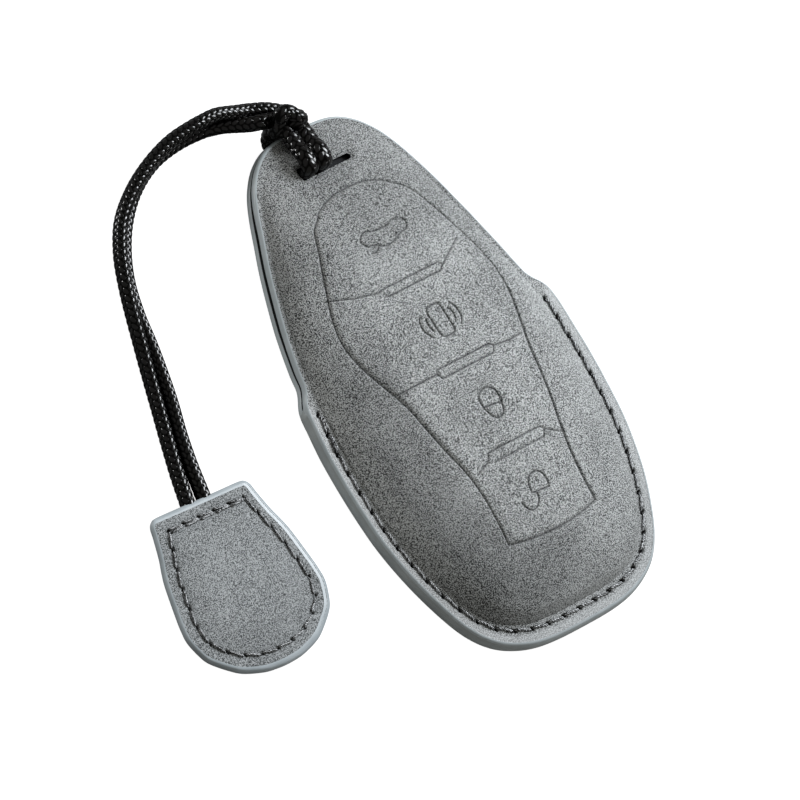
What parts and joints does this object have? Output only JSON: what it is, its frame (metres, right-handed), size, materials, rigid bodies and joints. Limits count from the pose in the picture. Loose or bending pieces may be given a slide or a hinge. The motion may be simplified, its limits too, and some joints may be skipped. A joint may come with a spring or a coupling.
{
  "type": "car key pouch",
  "caption": "Moulded leather pouch for a car key fob, sewn round its wide end, with a hitched waxed cord strap that ends in a sewn leather tag.",
  "frame": {"origin": "centre of the flat face of the back panel, which the pouch rests on", "axes": "+Z out of the front panel, +Y along the pouch towards its slot and cord, +X across it to the right seen from the front"},
  "size_m": [0.1071, 0.1114, 0.0146],
  "materials": {
    "leather": "mid-grey leather with a matt, mottled nubuck look",
    "lining": "dark microfibre",
    "cord": "black waxed braid, slightly glossy",
    "thread": "charcoal waxed thread"
  },
  "bodies": {
    "pouch": {"front_panel": "leather", "front_lining": "lining", "back_panel": "leather", "back_lining": "lining", "seam_thread_front": "thread", "seam_thread_back": "thread", "cord_hitch": "cord"},
    "strap": {"cord_strand_outer": "cord", "cord_strand_inner": "cord"},
    "tag": {"tag_front": "leather", "tag_back": "leather", "tag_thread": "thread", "cord_end_outer": "cord", "cord_end_inner": "cord"}
  },
  "joints": [
    {"name": "strap_lift", "type": "hinge", "parent": "pouch", "child": "strap", "pos_m": [-0.0108, 0.0563, 0.0069], "axis": [0.2169, 0.9762, 0], "range_deg": [-80, 80]},
    {"name": "tag_flap", "type": "hinge", "parent": "strap", "child": "tag", "pos_m": [-0.05715, 0.0022, 0.00145], "axis": [0.9989, -0.0476, 0], "range_deg": [-80, 80]}
  ]
}
